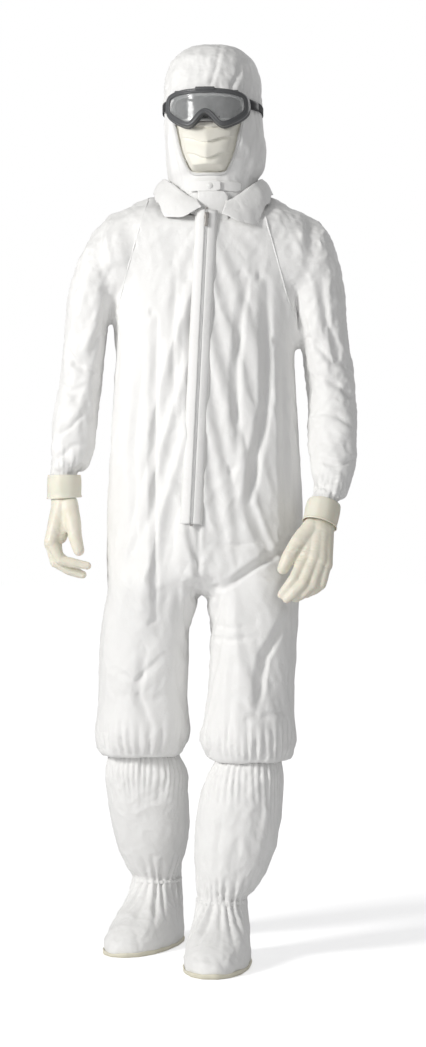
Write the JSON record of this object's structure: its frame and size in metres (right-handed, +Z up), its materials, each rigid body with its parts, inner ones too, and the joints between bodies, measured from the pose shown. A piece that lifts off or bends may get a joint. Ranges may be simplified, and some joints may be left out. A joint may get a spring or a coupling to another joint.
{
  "type": "chemical protective suit",
  "caption": "Worn-shape hooded protective coverall ensemble with zip front, goggles, pleated face mask, turned-cuff gloves and gathered knee-high boot covers, stood hollow in a walking stance",
  "frame": {"origin": "On the floor, under the middle of the suit's bounding box", "axes": "+Z up, the suit faces -Y, its wearer's left side is at +X"},
  "size_m": [0.6263, 0.5189, 1.817],
  "materials": {
    "suit_fabric": "matt nonwoven laminate, white",
    "latex": "smooth natural latex, ivory",
    "sole_vinyl": "embossed vinyl, cream",
    "goggle_rim": "translucent soft vinyl, grey",
    "goggle_lens": "clear polycarbonate",
    "black_plastic": "moulded, black",
    "strap_elastic": "woven elastic, black",
    "mask_nonwoven": "pleated nonwoven, ivory white",
    "mask_edge": "bound edge, white",
    "white_elastic": "covered elastic, white",
    "nose_wire": "soft flat wire",
    "zip_metal": "lacquered, grey",
    "zip_coil": "nylon coil, white",
    "zip_tape": "woven tape, white",
    "snap_plastic": "moulded snap, white"
  },
  "bodies": {
    "root": {"ankle_elastic_left": "white_elastic", "ankle_elastic_right": "white_elastic", "back_panel": "suit_fabric", "boot_foot_left": "suit_fabric", "boot_foot_right": "suit_fabric", "boot_shaft_left": "suit_fabric", "boot_shaft_right": "suit_fabric", "boot_sole_left": "sole_vinyl", "boot_sole_right": "sole_vinyl", "boot_top_elastic_left": "white_elastic", "boot_top_elastic_right": "white_elastic", "collar_left": "suit_fabric", "collar_right": "suit_fabric", "front_panel_left": "suit_fabric", "front_panel_right": "suit_fabric", "leg_left": "suit_fabric", "leg_right": "suit_fabric", "snap_stud": "snap_plastic", "snap_tab_base": "suit_fabric", "zip_bottom_stop": "zip_metal", "zip_coil_left": "zip_coil", "zip_coil_right": "zip_coil", "zip_tape_left": "zip_tape", "zip_tape_right": "zip_tape", "zip_top_stop": "zip_metal"},
    "head": {"hood_crown": "suit_fabric", "hood_side_right": "suit_fabric", "hood_side_left": "suit_fabric", "hood_neck": "suit_fabric", "hood_face_binding": "suit_fabric", "mask_body": "mask_nonwoven", "mask_top_binding": "mask_edge", "mask_bottom_binding": "mask_edge", "mask_nose_wire": "nose_wire", "mask_ear_loop_right": "white_elastic", "mask_ear_loop_left": "white_elastic", "goggle_strap": "strap_elastic"},
    "goggles": {"goggle_frame": "goggle_rim", "goggle_lens": "goggle_lens", "goggle_clip_right": "black_plastic", "goggle_clip_left": "black_plastic"},
    "adjuster": {"strap_adjuster": "black_plastic"},
    "zip_runner": {"zip_slider": "zip_metal"},
    "zip_puller": {"zip_pull": "zip_metal"},
    "arm_right": {"sleeve_right": "suit_fabric", "wrist_elastic_right": "white_elastic"},
    "arm_left": {"sleeve_left": "suit_fabric", "wrist_elastic_left": "white_elastic"},
    "hand_right": {"glove_right": "latex"},
    "hand_left": {"glove_left": "latex"},
    "tab": {"snap_tab": "suit_fabric", "snap_cap": "snap_plastic"}
  },
  "joints": [
    {"name": "head_turn", "type": "hinge", "parent": "root", "child": "head", "pos_m": [0.018, 0, 1.51], "axis": [0, 0, 1], "range_deg": [-30, 30]},
    {"name": "goggles_pull", "type": "slide", "parent": "head", "child": "goggles", "axis": [-0.1045, -0.9945, 0], "range_m": [0, 0.06], "deforming": ["goggle_strap"]},
    {"name": "adjuster_slide", "type": "slide", "parent": "head", "child": "adjuster", "axis": [0.9945, -0.1045, 0], "range_m": [-0.018, 0.018]},
    {"name": "zip_slide", "type": "slide", "parent": "root", "child": "zip_runner", "axis": [-0.0487, -0.0609, -0.997], "range_m": [0, 0.58]},
    {"name": "zip_pull_swing", "type": "hinge", "parent": "zip_runner", "child": "zip_puller", "pos_m": [0.00556, -0.11353, 1.46548], "axis": [-0.9988, 0.003, 0.0486], "range_deg": [0, 120]},
    {"name": "shoulder_right", "type": "hinge", "parent": "root", "child": "arm_right", "pos_m": [-0.186, 0, 1.4], "axis": [-1, 0, 0], "range_deg": [-25, 60]},
    {"name": "shoulder_left", "type": "hinge", "parent": "root", "child": "arm_left", "pos_m": [0.186, 0, 1.4], "axis": [-1, 0, 0], "range_deg": [0, 60]},
    {"name": "glove_right_pull", "type": "slide", "parent": "arm_right", "child": "hand_right", "axis": [0, 0, -1], "range_m": [0, 0.05]},
    {"name": "glove_left_pull", "type": "slide", "parent": "arm_left", "child": "hand_left", "axis": [-0.217, -0.3451, -0.9131], "range_m": [0, 0.05]},
    {"name": "snap_tab_open", "type": "hinge", "parent": "root", "child": "tab", "pos_m": [-0.02975, -0.08271, 1.5125], "axis": [0, 0, -1], "range_deg": [0, 60]}
  ]
}
